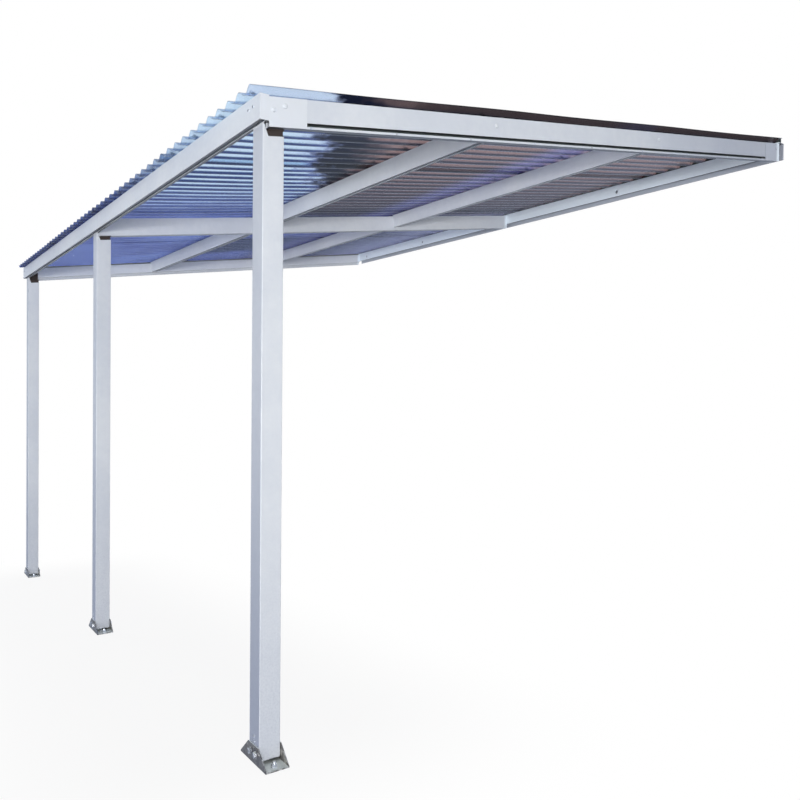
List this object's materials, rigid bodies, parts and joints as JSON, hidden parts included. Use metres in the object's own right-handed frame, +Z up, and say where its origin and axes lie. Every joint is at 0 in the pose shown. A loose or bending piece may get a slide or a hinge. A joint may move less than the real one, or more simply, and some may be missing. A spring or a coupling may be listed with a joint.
{
  "type": "lean-to carport",
  "caption": "Lean-to carport: clear corrugated sheets on a sloping frame of rafters and purlins, bolted to a wall at the back and carried on slim posts with ground brackets in front.",
  "frame": {"origin": "middle of the wall beam's back face, which lies flat against the wall at the roof's high side", "axes": "+X along the wall, +Y into the wall, away from the posts, +Z up; the ground lies at z = -2.229 under the right foot and falls evenly to z = -2.453 under the left one"},
  "size_m": [3.868, 2.7651, 2.5175],
  "materials": {
    "frame_white": "white powder coat with a cool grey cast, satin",
    "cover_white": "white powder coat, satin",
    "head_dark": "dark brown primer, dull",
    "galvanised": "hot-dip galvanised, dull",
    "clear_sheet": "clear corrugated plastic with a blue tint, glossy"
  },
  "bodies": {
    "root": {"post_right": "frame_white", "post_middle": "frame_white", "post_left": "frame_white", "foot_right": "galvanised", "foot_middle": "galvanised", "foot_left": "galvanised", "head_right": "head_dark", "head_middle": "head_dark", "head_left": "head_dark", "eave_beam": "frame_white", "wall_beam": "frame_white", "rafter_right": "frame_white", "rafter_middle": "frame_white", "rafter_left": "frame_white", "purlin_lower_right": "frame_white", "purlin_upper_right": "frame_white", "purlin_lower_left": "frame_white", "purlin_upper_left": "frame_white", "corner_plate_eave_right": "cover_white", "corner_plate_wall_right": "cover_white", "corner_plate_eave_left": "cover_white", "corner_plate_wall_left": "cover_white", "eave_cap_right": "cover_white", "eave_cap_left": "cover_white", "roof_sheet_1": "clear_sheet", "roof_sheet_2": "clear_sheet", "roof_sheet_3": "clear_sheet", "roof_sheet_4": "clear_sheet"}
  },
  "joints": []
}
